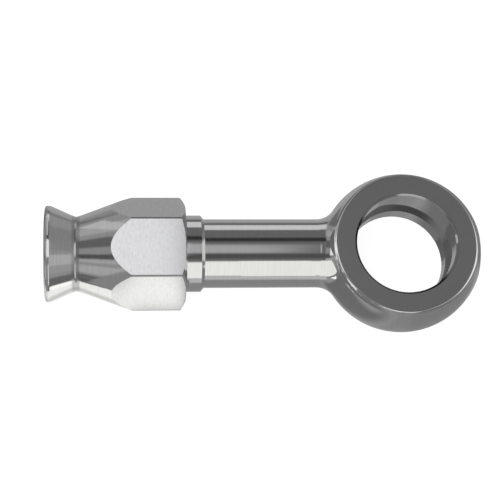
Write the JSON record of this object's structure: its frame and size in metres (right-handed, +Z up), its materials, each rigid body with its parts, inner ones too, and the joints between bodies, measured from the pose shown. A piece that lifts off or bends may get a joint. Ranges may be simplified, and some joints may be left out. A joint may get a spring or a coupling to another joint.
{
  "type": "straight banjo hose end",
  "caption": "Straight steel banjo hose end: a ball-shaped eye with flat faces and a grooved bore, a plain stem, and a hexagon hose socket with a bell mouth.",
  "frame": {"origin": "centre of the eye, on the axis of its bore, midway between its two flat faces", "axes": "+Z along the axis of the eye's bore, -X along the stem towards the hose, +Y to the left of someone who looks from the hose to the eye with +Z up"},
  "size_m": [0.0489, 0.018, 0.0118],
  "materials": {
    "body_steel": "polished stainless steel",
    "socket_steel": "polished stainless steel with fine turning marks",
    "olive_brass": "turned brass"
  },
  "bodies": {
    "banjo_body": {"banjo_body": "body_steel"},
    "olive": {"olive": "olive_brass"},
    "hose_socket": {"hose_socket": "socket_steel"}
  },
  "joints": [
    {"name": "olive_slide", "type": "slide", "parent": "banjo_body", "child": "olive", "axis": [-1, 0, 0], "range_m": [0, 0.0048]},
    {"name": "socket_turn", "type": "hinge", "parent": "olive", "child": "hose_socket", "pos_m": [-0.0275, 0, 0], "axis": [-1, 0, 0], "range_deg": [0, 1620]}
  ],
  "couplings": [
    {"joint": "olive_slide", "follows": "socket_turn", "m_per_rad": 0.00016839}
  ]
}
